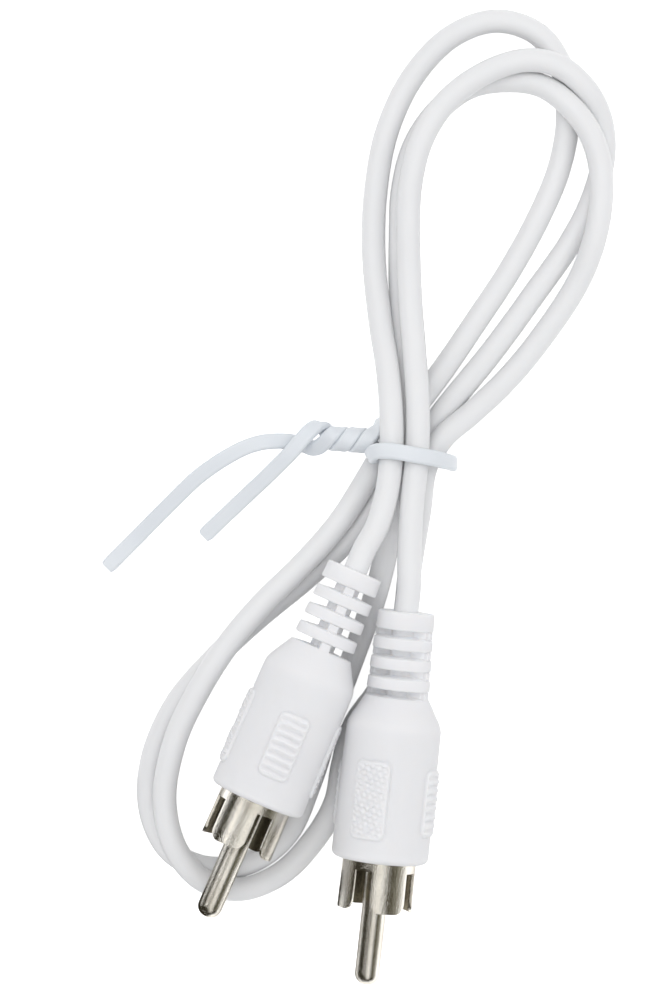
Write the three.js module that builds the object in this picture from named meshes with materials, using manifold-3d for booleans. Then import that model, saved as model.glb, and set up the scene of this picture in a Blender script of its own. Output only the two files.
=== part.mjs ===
// A short white audio lead with a moulded phono plug on each end, gathered into a
// hank and held by a plastic-coated wire tie. Millimetres, +Z up. The hank lies on
// its lower strands, and the origin is under the middle of the two plugs and the tie.

import * as THREE from 'three';
import { mergeVertices } from 'three/addons/utils/BufferGeometryUtils.js';
import Module from 'manifold-3d';

const wasm = await Module();
wasm.setup();

// Clearance that neighbouring pieces keep
const FIT = 0.3;

// Cable
const CABLE_D = 3.1;
const CABLE_SIDES = 8;
const CABLE_STEPS = 80;
const CABLE_STRAIGHT = 3;

// Moulded plug body, measured along its axis from the back of the strain relief
const BODY_L = 32;
const BODY_D = 12.5;
const SHOULDER_D = 12.2;
const NECK_BACK_D = 7.3;
const NECK_FRONT_D = 8.2;
const NECK_L = 11;
const SHOULDER_L = 3.5;
const FRONT_FILLET = 0.8;
const BACK_EDGE = 0.3;
const BODY_SIDES = 40;

// Slots that let the neck of the body bend
const SLOT_COUNT = 4;
const SLOT_W = 1.05;
const SLOT_PITCH = 2.56;
const SLOT_START = 2.3;
const SPINE_W = 1.3;

// Raised grip pads on the body
const PAD_FROM_FRONT = 8;
const PAD_CENTRE = BODY_L - PAD_FROM_FRONT;
const PAD_RISE = 0.25;
const PAD_CORNER = 0.9;
const RIBBED_W = 4.1;
const RIBBED_L = 8.5;
const STIPPLED_W = 4.7;
const STIPPLED_L = 10;
const RIDGE_COUNT = 7;
const RIDGE_PITCH = 1.13;
const RIDGE_W = 0.55;
const RIDGE_RISE = 0.2;
const RIDGE_INSET = 0.5;

// Inner mould around the soldered ends, from the shoulder to the shell
const MOULD_PAST_SHOULDER = 1.1;
const MOULD_START = NECK_L + SHOULDER_L + MOULD_PAST_SHOULDER;
const SHELL_DEPTH = 4.4;
const MOULD_END = BODY_L - SHELL_DEPTH - FIT;
const MOULD_BACK_WALL = 1.4;
const CHAMBER_START = MOULD_START + MOULD_BACK_WALL;
const CHAMBER_D = 8;
const CABLE_IN_MOULD = 1.2;
const CABLE_END = MOULD_START + CABLE_IN_MOULD;

// Ground shell
const SHELL_D = 9.45;
const SHELL_WALL = 0.35;
const SHELL_BACK_WALL = 0.5;
const SHELL_HOLE_D = 5;
const SHELL_L = 6.4;
const PETAL_L = 5.2;
const PETAL_CORNER = 1.4;
const SLOT_ANGLE = 30;
const SHELL_SIDES = 40;
const TAB_W = 2.4;
const TAB_T = 0.4;
const TAB_L = 5.6;
const TAB_OFFSET = 3.3;

// Insulator
const HUB_D = 4.4;
const HUB_BACK = 1;
const FLANGE_FRONT = 0.6;

// Centre pin
const PIN_D = 3.15;
const PIN_L = 16.2;
const PIN_TIP_L = 1.4;
const PIN_NECK_D = 2.2;
const PIN_NECK_L = 2.3;
const PIN_BEHIND_SHELL = 3.1;
const PIN_BACK = BODY_L - SHELL_DEPTH - PIN_BEHIND_SHELL;
const CUP_D = 1.2;
const CUP_DEPTH = 3;

// Stripped end of the cable and its solder
const WIRE_D = 0.6;
const WIRE_IN_CUP = 1.8;
const CORE_D = 2.2;
const CORE_SHARE = 0.6;
const PIGTAIL_D = 0.8;
const PIGTAIL_OFFSET = 2.4;
const PIGTAIL_START = 1.9;
const PIGTAIL_BEHIND_SHELL = 3.3;
const PIGTAIL_SIDES = 10;
const PIGTAIL_STEPS = 8;
const SOLDER_RING_D = 2;
const SOLDER_RING_L = 0.6;
const SOLDER_DAB = [0.35, 0.7, 0.8];

// Wire tie
const TIE_W = 2.05;
const TIE_T = 1.15;
const TIE_CORNER = 0.4;
const TIE_WIRE_D = 0.46;
const TIE_WIRE_FIT = 0.12;
const TIE_WIRE_SIDES = 6;
const TIE_STEPS = 130;
const TWIST_TURNS = 1.05;
const TWIST_START = 48;
const TWIST_R_RIGHT = 1.1;
const TWIST_R_LEFT = 1;
const TWIST_STEPS = 10;
const TWIST_RIGHT = [5, 7.6, 6.3];
const TWIST_LEFT = [-0.1, 7.9, 6];

// Plugs where they lie. Heading turns the plug from -Y towards -X, tilt drops its tip,
// roll turns the grip pads and petalRoll the shell about the plug's own axis (degrees).
const PLUGS = {
  a: { back: [2.8, -9, 9.2], heading: 23.4, tilt: -0.3, roll: -5, petalRoll: 20 },
  b: { back: [9.35, -14.3, 8.7], heading: 6.2, tilt: 1.8, roll: -69, petalRoll: -20 },
};

// Free run of the cable from plug b to plug a, chosen by hand
const UP_OVER_TIE = [
  [9.7, -7.2, 8.7], [10, -1, 8.8], [10.7, 5.8, 8.7], [10.8, 12.2, 8.3], [10.4, 19, 7.1],
  [9.9, 26, 5.7], [9.7, 33.5, 4.9], [9.9, 40.3, 4.8],
];
const MIDDLE_ARC = [
  [11.3, 46.2, 4.8], [14.2, 51, 4.8], [18.8, 54.7, 4.8], [24.3, 56.7, 4.8], [28.8, 56.1, 5],
  [32.4, 53.3, 4.3], [34.6, 49.5, 2.5], [35.1, 44.8, 1.6], [33.6, 39, 1.6], [30.8, 33.5, 1.6],
];
const UNDER_TIE_LEFT = [
  [26.1, 26.8, 1.6], [20.6, 19.3, 1.7], [14.2, 11.4, 2.2], [10, 5.7, 2.8], [5.9, 0, 2.2],
  [1.4, -5.5, 1.9], [-3.9, -10.4, 1.7], [-9.4, -14.9, 1.6], [-14.5, -19.6, 1.6],
];
const LOWER_LOOP = [
  [-20.6, -26.7, 1.6], [-23.7, -34.4, 1.6], [-23.6, -41, 1.6], [-20.9, -45.8, 1.6], [-16, -47.8, 1.6],
  [-10.8, -47, 1.6], [-6.1, -43.4, 1.6], [-3, -36.6, 1.6],
];
const UP_BETWEEN_PLUGS = [
  [-0.5, -28.6, 1.6], [2.8, -19.7, 1.8], [5.6, -11.7, 2.9], [7.4, -3.5, 4.9], [8.9, 5.8, 5.9],
  [9, 11.6, 5.6], [8.9, 18.1, 3.9], [8.7, 25.9, 2], [8.7, 33.8, 1.6], [9, 40.3, 1.6],
];
const INNER_ARC = [
  [10.5, 46, 1.6], [13.6, 50.6, 1.6], [17.9, 53.7, 1.6], [22.9, 54.4, 2.2], [26.9, 53.6, 3.5],
  [30.1, 51.2, 4.9], [32.6, 48.2, 5], [34.1, 44.6, 4.9], [34.6, 40, 4.8], [33.8, 34, 4.4],
];
const DOWN_BETWEEN_PLUGS = [
  [31.6, 28.1, 2.9], [26.5, 20.4, 1.9], [22.2, 15.3, 2], [17.7, 11.1, 3.4], [14.1, 8, 4.9],
  [11.9, 4.2, 5.1], [11.1, -1.4, 4.4], [10, -8.4, 2.3], [8.9, -16.9, 1.6], [6.3, -24, 1.6],
  [2.7, -29.3, 1.6], [1.2, -34.4, 1.6],
];
const UPPER_LOOP = [
  [0.2, -39.4, 1.6], [-2.9, -44.6, 1.6], [-7, -48.6, 1.8], [-12, -50.4, 3], [-16.8, -49.1, 4.6],
  [-20.3, -45.1, 4.8], [-21.8, -38.7, 4.6], [-20.5, -31.3, 4.7], [-17.9, -25.5, 4.8],
];
const UNDER_TIE_RIGHT = [
  [-13.9, -19, 4.8], [-9.3, -13.5, 4.7], [-4.1, -8.4, 4.5], [0.8, -2.8, 4.3], [5.8, 5.1, 3.1],
  [9.8, 11, 2.6], [14.2, 16.9, 1.9], [18.7, 23.5, 1.6], [22.8, 29.7, 1.6], [26.6, 36.6, 1.6],
  [29.3, 43.1, 1.6],
];
const OUTER_ARC = [
  [30.4, 49.6, 1.6], [29.5, 56.4, 1.6], [26.4, 60.6, 1.6], [21.1, 62.2, 1.6], [15.5, 60.3, 1.6],
  [10.4, 55.1, 1.6], [7, 48, 1.6], [5.5, 40.3, 1.6], [5.2, 32.4, 1.8],
];
const DOWN_OVER_TIE = [
  [6, 23.3, 4.4], [7, 16.4, 7], [7.4, 10.9, 8.5], [7.4, 5.8, 8.7], [6.9, 1.3, 8.9],
  [5.6, -3.3, 9.3],
];
const CABLE_RUN = [
  ...UP_OVER_TIE, ...MIDDLE_ARC, ...UNDER_TIE_LEFT, ...LOWER_LOOP, ...UP_BETWEEN_PLUGS,
  ...INNER_ARC, ...DOWN_BETWEEN_PLUGS, ...UPPER_LOOP, ...UNDER_TIE_RIGHT, ...OUTER_ARC,
  ...DOWN_OVER_TIE,
];

// Tie: where it runs, and which way its broad face looks, point by point
const UP = [0, 0, 1];
const TIE_LONG_END = [
  [-29.5, -8.8, 0.7, UP], [-25.4, -4.7, 1.2, UP], [-21.6, -0.9, 2.4, UP], [-17.1, 3.3, 3.9, UP],
  [-12, 6.5, 5, UP], [-9.3, 7.4, 5.2, UP], [-6.8, 7.6, 5, UP], [-4.3, 7.3, 4.9, UP],
  [-2.3, 6.7, 5.5, [0, -0.5, 0.8]],
];
const TIE_LOOP = [
  [5.9, 9.5, 6.1, [-0.5, 0.8, 0]], [6, 9.8, 4.6, [-0.7, 0.6, -0.4]],
  [5.7, 9.5, 2.8, [-0.9, 0.2, -0.3]], [6.5, 8.6, 1.2, [-0.5, 0, -0.8]],
  [8.3, 7.5, 0.6, [0, 0, -1]], [10.9, 6.1, 0.6, [0, 0, -1]], [13.2, 5.3, 1.4, [0.4, 0, -1]],
  [15, 4.9, 3.2, [0.8, 0, -0.6]], [15.4, 4.7, 5.4, [1, 0, -0.1]], [14.7, 4.9, 8, [1, 0, 0.4]],
  [12.9, 5.3, 10.3, [0.6, 0, 0.8]], [10.6, 5.7, 11, [0, 0, 1]], [7.5, 6.2, 11, [0, 0, 1]],
  [5.5, 6.2, 10.3, [-0.6, 0, 0.8]], [4.8, 5.7, 8.8, [-0.9, -0.3, 0.2]],
  [5.1, 5.6, 7.3, [-0.5, -0.9, 0]],
];
const TIE_SHORT_END = [
  [-1, 9, 5.1, [0, 0.6, -0.8]], [-1.9, 9.6, 6, [0, 0.9, 0.3]], [-3.1, 8.8, 6.8, [0, 0.3, 0.9]],
  [-5.3, 6.3, 6.8, UP], [-8.2, 3.4, 5.6, UP], [-11.3, 0.5, 4.3, UP], [-14.4, -2.4, 3.1, UP],
  [-16.8, -4.7, 2.2, UP],
];

// Colours of the pieces
const WHITE_MOULDING = { color: 0xe6e6e8, roughness: 0.5, metalness: 0 };
const WHITE_JACKET = { color: 0xe8e9ec, roughness: 0.35, metalness: 0 };
const NICKEL = { color: 0xb9b4a6, roughness: 0.18, metalness: 1 };
const INSULATOR_WHITE = { color: 0xdedcd2, roughness: 0.55, metalness: 0 };
const COPPER = { color: 0xb5713f, roughness: 0.35, metalness: 1 };
const SOLDER = { color: 0xa9abad, roughness: 0.3, metalness: 1 };
const CORE_PLASTIC = { color: 0xdfe3e6, roughness: 0.5, metalness: 0 };
const TIE_PLASTIC = { color: 0xdde2ec, roughness: 0.4, metalness: 0 };
const STEEL = { color: 0x8d9094, roughness: 0.35, metalness: 1 };

function piece(name, geometry, look) {
  const mesh = new THREE.Mesh(geometry, new THREE.MeshStandardMaterial(look));
  mesh.name = name;
  return mesh;
}

function toSolid(geometry) {
  const bare = geometry.clone();
  bare.deleteAttribute('normal');
  bare.deleteAttribute('uv');
  const merged = mergeVertices(bare, 1e-4);
  const vertProperties = new Float32Array(merged.attributes.position.array);
  const triVerts = new Uint32Array(merged.index.array);
  return new wasm.Manifold(new wasm.Mesh({ numProp: 3, vertProperties, triVerts }));
}

function toGeometry(solid) {
  const mesh = solid.getMesh();
  const geometry = new THREE.BufferGeometry();
  geometry.setAttribute('position', new THREE.BufferAttribute(mesh.vertProperties, 3));
  geometry.setIndex(new THREE.BufferAttribute(mesh.triVerts, 1));
  geometry.computeVertexNormals();
  return geometry;
}

// Turned shape about the plug axis (local Y) from [radius, distance] points
function turned(profile, sides) {
  const points = profile.map(([radius, along]) => new THREE.Vector2(radius, along));
  return new THREE.LatheGeometry(points, sides);
}

function arcPoints(cx, cy, rx, ry, from, to, steps) {
  const points = [];
  for (let i = 0; i <= steps; i++) {
    const angle = from + ((to - from) * i) / steps;
    points.push([cx + rx * Math.cos(angle), cy + ry * Math.sin(angle)]);
  }
  return points;
}

// Ring with a square section, closed on itself
function ring(outer, inner, from, to, sides) {
  return turned([[inner, from], [outer, from], [outer, to], [inner, to], [inner, from]], sides);
}

// Corners of a regular polygon, one of them on the x axis
function polygon(diameter, sides) {
  const corners = [];
  for (let i = 0; i < sides; i++) {
    const angle = (2 * Math.PI * i) / sides;
    corners.push(new THREE.Vector2(Math.cos(angle), Math.sin(angle)).multiplyScalar(diameter / 2));
  }
  return corners;
}

function rounded(width, length, corner) {
  const w = width / 2 - corner;
  const l = length / 2 - corner;
  const shape = new THREE.Shape();
  shape.absarc(w, l, corner, 0, Math.PI / 2);
  shape.absarc(-w, l, corner, Math.PI / 2, Math.PI);
  shape.absarc(-w, -l, corner, Math.PI, Math.PI * 1.5);
  shape.absarc(w, -l, corner, Math.PI * 1.5, Math.PI * 2);
  return shape;
}

// Block standing out of the body wall, with a top that follows the body's round
function raised(block, rise) {
  const radius = BODY_D / 2 + rise;
  const round = turned([[0, 0], [radius, 0], [radius, BODY_L], [0, BODY_L]], BODY_SIDES);
  return toSolid(block).intersect(toSolid(round));
}

function pad(width, length, turn) {
  const block = new THREE.ExtrudeGeometry(rounded(width, length, PAD_CORNER), {
    depth: BODY_D, bevelEnabled: false, curveSegments: 2,
  });
  block.translate(0, PAD_CENTRE, 0);
  block.rotateY(turn);
  return raised(block, PAD_RISE);
}

function ridge(index, turn) {
  const block = new THREE.BoxGeometry(RIBBED_W - 2 * RIDGE_INSET, RIDGE_W, BODY_D);
  block.translate(0, PAD_CENTRE + (index - (RIDGE_COUNT - 1) / 2) * RIDGE_PITCH, BODY_D / 2);
  block.rotateY(turn);
  return raised(block, PAD_RISE + RIDGE_RISE);
}

function gripPads() {
  const pads = [];
  for (const turn of [0, Math.PI]) {
    pads.push(pad(RIBBED_W, RIBBED_L, turn));
    for (let i = 0; i < RIDGE_COUNT; i++) pads.push(ridge(i, turn));
  }
  for (const turn of [Math.PI / 2, -Math.PI / 2]) pads.push(pad(STIPPLED_W, STIPPLED_L, turn));
  return pads;
}

function neckSlots() {
  const slots = [];
  for (let i = 0; i < SLOT_COUNT; i++) {
    for (const side of [1, -1]) {
      const block = new THREE.BoxGeometry(BODY_D, SLOT_W, BODY_D);
      const middle = SLOT_START + i * SLOT_PITCH + SLOT_W / 2;
      block.translate(side * (SPINE_W / 2 + BODY_D / 2), middle, 0);
      slots.push(toSolid(block));
    }
  }
  return slots;
}

// White body moulded over the joint, with its neck, grip pads and bores
function overmould() {
  const radius = BODY_D / 2;
  const fillet = arcPoints(
    radius - FRONT_FILLET, BODY_L - FRONT_FILLET, FRONT_FILLET, FRONT_FILLET, 0, Math.PI / 2, 4);
  const outline = [
    [0, 0], [NECK_BACK_D / 2 - BACK_EDGE, 0], [NECK_BACK_D / 2, BACK_EDGE],
    [NECK_FRONT_D / 2, NECK_L], [SHOULDER_D / 2 - BACK_EDGE, NECK_L + SHOULDER_L - BACK_EDGE],
    [SHOULDER_D / 2, NECK_L + SHOULDER_L], ...fillet, [0, BODY_L],
  ];
  let body = toSolid(turned(outline, BODY_SIDES));
  for (const pad of gripPads()) body = body.add(pad);
  for (const slot of neckSlots()) body = body.subtract(slot);
  const cableBore = CABLE_D / 2 + FIT;
  const cavity = SHELL_D / 2 + FIT;
  const hollow = turned([
    [0, -1], [cableBore, -1], [cableBore, MOULD_START - FIT], [cavity, MOULD_START - FIT],
    [cavity, BODY_L + 1], [0, BODY_L + 1],
  ], BODY_SIDES);
  return toGeometry(body.subtract(toSolid(hollow)));
}

// Inner mould: a sleeve with a bore for the cable and a chamber for the soldered ends
function innerMould() {
  const cableBore = CABLE_D / 2 + FIT;
  const outer = SHELL_D / 2;
  return turned([
    [cableBore, MOULD_START], [outer, MOULD_START], [outer, MOULD_END], [CHAMBER_D / 2, MOULD_END],
    [CHAMBER_D / 2, CHAMBER_START], [cableBore, CHAMBER_START], [cableBore, MOULD_START],
  ], SHELL_SIDES);
}

// One gap between two petals, wider at the mouth where the petal corners are rounded
function petalGap(radius, front) {
  const half = radius * Math.sin(THREE.MathUtils.degToRad(SLOT_ANGLE / 2));
  const root = front - PETAL_L;
  const past = 0.5;
  const shape = new THREE.Shape();
  shape.moveTo(-half, root);
  shape.lineTo(half, root);
  shape.lineTo(half, front - PETAL_CORNER);
  shape.absarc(half + PETAL_CORNER, front - PETAL_CORNER, PETAL_CORNER, Math.PI, Math.PI / 2, true);
  shape.lineTo(half + PETAL_CORNER, front + past);
  shape.lineTo(-half - PETAL_CORNER, front + past);
  shape.lineTo(-half - PETAL_CORNER, front);
  shape.absarc(-half - PETAL_CORNER, front - PETAL_CORNER, PETAL_CORNER, Math.PI / 2, 0, true);
  return new THREE.ExtrudeGeometry(shape, {
    depth: radius * 2, bevelEnabled: false, curveSegments: 5,
  });
}

// Nickel-plated ground shell: a cup whose rim is cut into four petals, with a solder tab
function groundShell() {
  const radius = SHELL_D / 2;
  const back = BODY_L - SHELL_DEPTH;
  const front = BODY_L + SHELL_L;
  let shell = toSolid(turned([
    [SHELL_HOLE_D / 2, back], [radius, back], [radius, front], [radius - SHELL_WALL, front],
    [radius - SHELL_WALL, back + SHELL_BACK_WALL], [SHELL_HOLE_D / 2, back + SHELL_BACK_WALL],
    [SHELL_HOLE_D / 2, back],
  ], SHELL_SIDES));
  const tab = new THREE.BoxGeometry(TAB_T, TAB_L + SHELL_BACK_WALL / 2, TAB_W);
  tab.translate(TAB_OFFSET, back - TAB_L / 2 + SHELL_BACK_WALL / 4, 0);
  shell = shell.add(toSolid(tab));
  for (let i = 0; i < 4; i++) {
    const gap = petalGap(radius, front);
    gap.rotateY(((i + 0.5) * Math.PI) / 2);
    shell = shell.subtract(toSolid(gap));
  }
  return toGeometry(shell);
}

// Insulator between shell and pin: a flange in the cup and a hub through its back
function insulator() {
  const bore = PIN_D / 2 + FIT;
  const hub = HUB_D / 2;
  const flange = SHELL_D / 2 - SHELL_WALL - FIT;
  const seat = BODY_L - SHELL_DEPTH + SHELL_BACK_WALL + FIT;
  const hubStart = MOULD_END - HUB_BACK;
  const front = BODY_L + FLANGE_FRONT;
  return turned([
    [bore, hubStart], [hub, hubStart], [hub, seat], [flange, seat], [flange, front], [bore, front],
    [bore, hubStart],
  ], SHELL_SIDES);
}

// Centre pin: round nose in front, solder cup behind
function centrePin() {
  const radius = PIN_D / 2;
  const tip = BODY_L + PIN_L;
  const nose = arcPoints(0, tip - PIN_TIP_L, radius, PIN_TIP_L, 0, Math.PI / 2, 6);
  nose[nose.length - 1][0] = 0;
  return turned([
    [0, PIN_BACK + CUP_DEPTH], [CUP_D / 2, PIN_BACK + CUP_DEPTH], [CUP_D / 2, PIN_BACK],
    [PIN_NECK_D / 2, PIN_BACK], [PIN_NECK_D / 2, PIN_BACK + PIN_NECK_L],
    [radius, PIN_BACK + PIN_NECK_L], ...nose,
  ], 24);
}

// Insulation left on the first part of the stripped conductor
function coreInsulation() {
  const start = CABLE_END + FIT;
  const length = CORE_SHARE * (PIN_BACK - CABLE_END);
  return ring(CORE_D / 2, WIRE_D / 2 + FIT, start, start + length, 16);
}

function centreWire() {
  const start = CABLE_END + FIT;
  const end = PIN_BACK + WIRE_IN_CUP;
  return turned([[0, start], [WIRE_D / 2, start], [WIRE_D / 2, end], [0, end]], 10);
}

// Twisted braid, led outwards from the cable's end along the solder tab
function shieldPigtail() {
  const start = CABLE_END + 2 * FIT;
  const end = BODY_L - SHELL_DEPTH - PIGTAIL_BEHIND_SHELL;
  const path = new THREE.CatmullRomCurve3([
    new THREE.Vector3(PIGTAIL_START, start, 0),
    new THREE.Vector3(PIGTAIL_START, THREE.MathUtils.lerp(start, end, 0.2), 0),
    new THREE.Vector3(PIGTAIL_OFFSET, THREE.MathUtils.lerp(start, end, 0.55), 0),
    new THREE.Vector3(PIGTAIL_OFFSET, end, 0),
  ], false, 'centripetal');
  return tube(new THREE.Shape(polygon(PIGTAIL_D, PIGTAIL_SIDES)), path, PIGTAIL_STEPS);
}

function pinSolder() {
  const inner = WIRE_D / 2 + FIT;
  const end = PIN_BACK - FIT;
  return turned([
    [inner, end - SOLDER_RING_L], [SOLDER_RING_D / 2 - FIT, end - SOLDER_RING_L],
    [SOLDER_RING_D / 2, end], [inner, end], [inner, end - SOLDER_RING_L],
  ], 16);
}

function shieldSolder() {
  const [across, along, around] = SOLDER_DAB;
  const pigtailEnd = BODY_L - SHELL_DEPTH - PIGTAIL_BEHIND_SHELL;
  const dab = new THREE.SphereGeometry(1, 12, 8);
  dab.scale(across, along, around);
  dab.translate(PIGTAIL_OFFSET, pigtailEnd + FIT + along, 0);
  return dab;
}

// Turns a plug's own frame (Y along its axis, Z up) to where it lies
function plugPlacement({ back, heading, tilt }) {
  const turn = THREE.MathUtils.degToRad(heading);
  const drop = THREE.MathUtils.degToRad(tilt);
  const axis = new THREE.Vector3(
    -Math.sin(turn) * Math.cos(drop), -Math.cos(turn) * Math.cos(drop), -Math.sin(drop));
  const side = new THREE.Vector3().crossVectors(axis, new THREE.Vector3(0, 0, 1)).normalize();
  const up = new THREE.Vector3().crossVectors(side, axis);
  const matrix = new THREE.Matrix4().makeBasis(side, axis, up);
  return { origin: new THREE.Vector3(...back), axis, matrix };
}

function plug(letter) {
  const place = plugPlacement(PLUGS[letter]);
  const group = new THREE.Group();
  group.position.copy(place.origin);
  group.quaternion.setFromRotationMatrix(place.matrix);

  const body = new THREE.Group();
  body.rotation.y = THREE.MathUtils.degToRad(PLUGS[letter].roll);
  body.add(piece(`plug_body_${letter}`, overmould(), WHITE_MOULDING));
  body.add(piece(`inner_mould_${letter}`, innerMould(), CORE_PLASTIC));
  group.add(body);

  const contacts = new THREE.Group();
  contacts.rotation.y = THREE.MathUtils.degToRad(PLUGS[letter].petalRoll);
  contacts.add(piece(`ground_shell_${letter}`, groundShell(), NICKEL));
  contacts.add(piece(`insulator_${letter}`, insulator(), INSULATOR_WHITE));
  contacts.add(piece(`center_pin_${letter}`, centrePin(), NICKEL));
  contacts.add(piece(`core_insulation_${letter}`, coreInsulation(), CORE_PLASTIC));
  contacts.add(piece(`center_wire_${letter}`, centreWire(), COPPER));
  contacts.add(piece(`shield_pigtail_${letter}`, shieldPigtail(), COPPER));
  contacts.add(piece(`pin_solder_${letter}`, pinSolder(), SOLDER));
  contacts.add(piece(`shield_solder_${letter}`, shieldSolder(), SOLDER));
  group.add(contacts);
  return group;
}

// Points of the cable inside a plug and just out of its neck, from its cut end outwards
function cableEnd(letter) {
  const { origin, axis } = plugPlacement(PLUGS[letter]);
  return [CABLE_END, CABLE_END / 2, 0, -CABLE_STRAIGHT].map(
    (along) => origin.clone().addScaledVector(axis, along));
}

function tube(section, path, steps) {
  return new THREE.ExtrudeGeometry(section, { steps, extrudePath: path, bevelEnabled: false });
}

function cable() {
  const run = CABLE_RUN.map((point) => new THREE.Vector3(...point));
  const points = [...cableEnd('b'), ...run, ...cableEnd('a').reverse()];
  const path = new THREE.CatmullRomCurve3(points, false, 'centripetal');
  path.arcLengthDivisions = 2000;
  return tube(new THREE.Shape(polygon(CABLE_D, CABLE_SIDES)), path, CABLE_STEPS);
}

// A path for a flat strip: its section is turned so that the broad side looks the way
// that the points say
class StripPath extends THREE.CatmullRomCurve3 {
  constructor(points, faces) {
    super(points, false, 'centripetal');
    this.faces = faces;
    this.arcLengthDivisions = 2000;
  }

  computeFrenetFrames(segments) {
    const tangents = [];
    const normals = [];
    const binormals = [];
    const spans = this.points.length - 1;
    for (let i = 0; i <= segments; i++) {
      const tangent = this.getTangentAt(i / segments);
      const place = this.getUtoTmapping(i / segments) * spans;
      const before = Math.min(Math.floor(place), spans - 1);
      const face = this.faces[before].clone().lerp(this.faces[before + 1], place - before);
      const binormal = new THREE.Vector3().crossVectors(tangent, face).normalize();
      tangents.push(tangent);
      binormals.push(binormal);
      normals.push(new THREE.Vector3().crossVectors(binormal, tangent));
    }
    return { tangents, normals, binormals };
  }
}

// Half of the double twist: one of its two strands, as points with a face direction
function twistStrand(startAngle) {
  const right = new THREE.Vector3(...TWIST_RIGHT);
  const left = new THREE.Vector3(...TWIST_LEFT);
  const axis = left.clone().sub(right).normalize();
  const side = new THREE.Vector3().crossVectors(axis, new THREE.Vector3(0, 0, 1)).normalize();
  const up = new THREE.Vector3().crossVectors(side, axis);
  const strand = [];
  for (let i = 0; i <= TWIST_STEPS; i++) {
    const part = i / TWIST_STEPS;
    const angle = THREE.MathUtils.degToRad(startAngle - 360 * TWIST_TURNS * part);
    const out = up.clone().multiplyScalar(Math.cos(angle)).addScaledVector(side, Math.sin(angle));
    const radius = THREE.MathUtils.lerp(TWIST_R_RIGHT, TWIST_R_LEFT, part);
    strand.push({ point: right.clone().lerp(left, part).addScaledVector(out, radius), face: out });
  }
  return strand;
}

function tiePath() {
  const laid = (rows) => rows.map(([x, y, z, face]) => (
    { point: new THREE.Vector3(x, y, z), face: new THREE.Vector3(...face).normalize() }));
  const all = [
    ...laid(TIE_LONG_END), ...twistStrand(TWIST_START).reverse(), ...laid(TIE_LOOP),
    ...twistStrand(TWIST_START - 180), ...laid(TIE_SHORT_END),
  ];
  return new StripPath(all.map(({ point }) => point), all.map(({ face }) => face));
}

// Flat strip with bevelled corners and a hole along it for the wire
function tieCoating() {
  const t = TIE_T / 2;
  const w = TIE_W / 2;
  const c = TIE_CORNER;
  const corners = [
    [t, c - w], [t, w - c], [t - c, w], [c - t, w], [-t, w - c], [-t, c - w], [c - t, -w], [t - c, -w],
  ];
  const section = new THREE.Shape(corners.map(([x, y]) => new THREE.Vector2(x, y)));
  section.holes.push(new THREE.Path(polygon(TIE_WIRE_D + 2 * TIE_WIRE_FIT, TIE_WIRE_SIDES)));
  return tube(section, tiePath(), TIE_STEPS);
}

function tieWire() {
  return tube(new THREE.Shape(polygon(TIE_WIRE_D, TIE_WIRE_SIDES)), tiePath(), TIE_STEPS);
}

// Puts the origin on the floor under the middle of the plugs and the tie
function build() {
  const rigid = new THREE.Group();
  rigid.add(plug('a'), plug('b'));
  rigid.add(piece('tie_coating', tieCoating(), TIE_PLASTIC));
  rigid.add(piece('tie_wire', tieWire(), STEEL));
  const box = new THREE.Box3().setFromObject(rigid, true);
  const middle = box.getCenter(new THREE.Vector3());
  const object = new THREE.Group();
  object.position.set(-middle.x, -middle.y, -box.min.z);
  object.add(rigid, piece('cable', cable(), WHITE_JACKET));
  return object;
}

const object = build();

export default object;
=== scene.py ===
import math

import bmesh
import bpy
from mathutils import Matrix, Vector


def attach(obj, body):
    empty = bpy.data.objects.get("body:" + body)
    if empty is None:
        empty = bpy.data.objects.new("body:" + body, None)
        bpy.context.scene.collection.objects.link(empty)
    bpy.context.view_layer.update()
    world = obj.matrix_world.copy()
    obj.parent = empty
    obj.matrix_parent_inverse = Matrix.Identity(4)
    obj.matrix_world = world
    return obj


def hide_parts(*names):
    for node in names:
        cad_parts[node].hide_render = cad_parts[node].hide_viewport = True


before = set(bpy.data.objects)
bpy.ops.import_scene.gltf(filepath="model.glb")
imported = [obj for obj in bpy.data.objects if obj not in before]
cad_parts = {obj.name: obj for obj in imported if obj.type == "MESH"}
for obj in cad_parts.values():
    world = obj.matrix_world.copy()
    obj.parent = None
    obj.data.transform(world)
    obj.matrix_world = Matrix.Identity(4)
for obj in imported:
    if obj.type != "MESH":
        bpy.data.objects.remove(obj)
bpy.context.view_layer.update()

MM = 0.001
# From the origin of the points below to the row's origin, in mm
SHIFT = Vector((7.127, 25.753, 0.072))

# Camera, straight above the points' origin, in mm
CAMERA_HEIGHT = 508
LENS = 140.4
SENSOR = 36

# Plugs: the middle of the neck's back end in mm, and turns in degrees
PLUGS = {
    "a": {"back": (2.8, -9, 9.2), "heading": 23.4, "tilt": -0.3, "roll": -5, "petal_roll": 20},
    "b": {"back": (9.35, -14.3, 8.7), "heading": 6.2, "tilt": 1.8, "roll": -69, "petal_roll": -20},
}

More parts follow.
